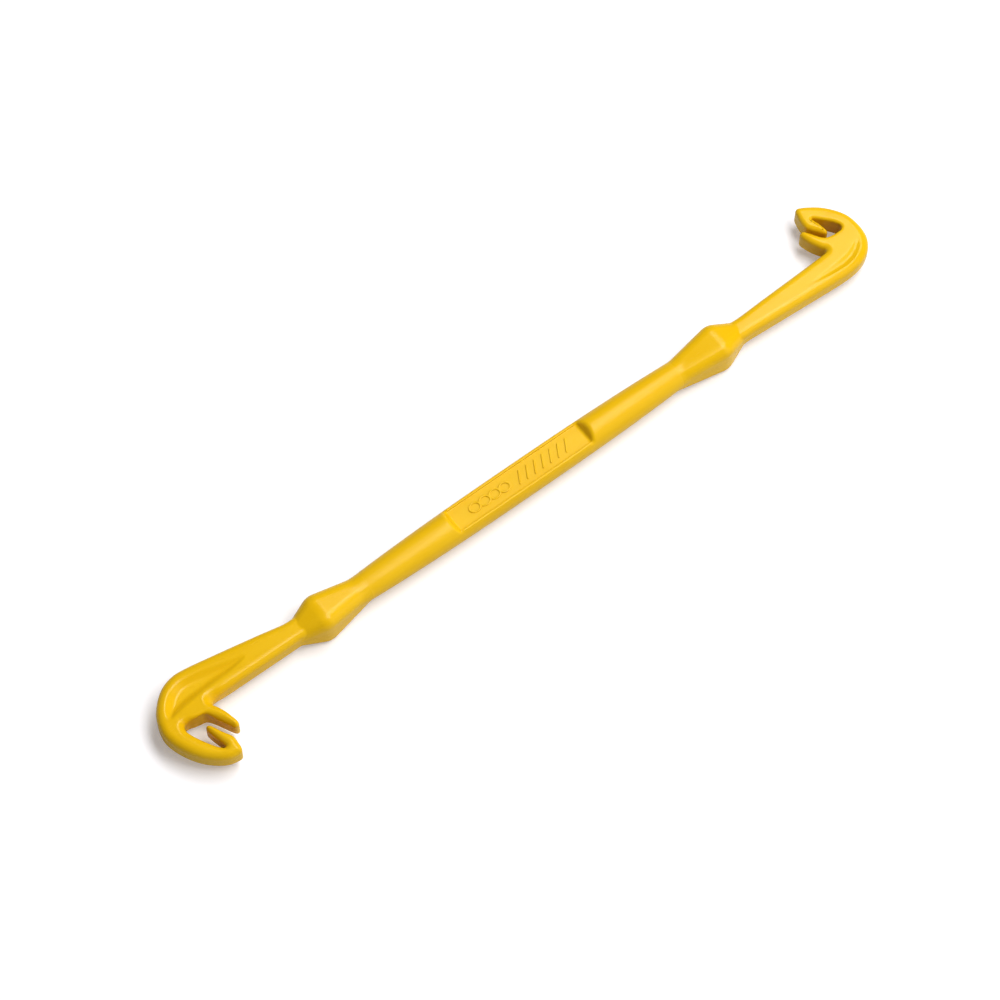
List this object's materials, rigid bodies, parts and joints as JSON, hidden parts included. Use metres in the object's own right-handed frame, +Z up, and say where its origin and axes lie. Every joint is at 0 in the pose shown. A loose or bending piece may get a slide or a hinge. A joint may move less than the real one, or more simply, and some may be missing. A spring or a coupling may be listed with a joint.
{
  "type": "fishing loop tyer",
  "caption": "Slim one-piece moulded hand tool with a waisted round grip, square collars and a barbed hook with an eye and a line slot at each end, one hook larger than the other.",
  "frame": {"origin": "on the surface that the tool lies on, under the middle of its bounding box; the grip's middle is 0.8 mm from it towards -X", "axes": "+X along the grip towards the small hook, +Y the side the small hook curls to, +Z up out of the grip's flat panel"},
  "size_m": [0.1428, 0.0232, 0.0065],
  "materials": {
    "yellow_plastic": "moulded, satin gloss"
  },
  "bodies": {
    "root": {"grip_bar": "yellow_plastic", "grip_marks": "yellow_plastic", "large_collar": "yellow_plastic", "large_shank": "yellow_plastic", "large_bend": "yellow_plastic", "large_hook_arm": "yellow_plastic", "large_barb": "yellow_plastic", "large_finger": "yellow_plastic", "small_collar": "yellow_plastic", "small_shank": "yellow_plastic", "small_bend": "yellow_plastic", "small_hook_arm": "yellow_plastic", "small_barb": "yellow_plastic", "small_finger": "yellow_plastic"}
  },
  "joints": []
}
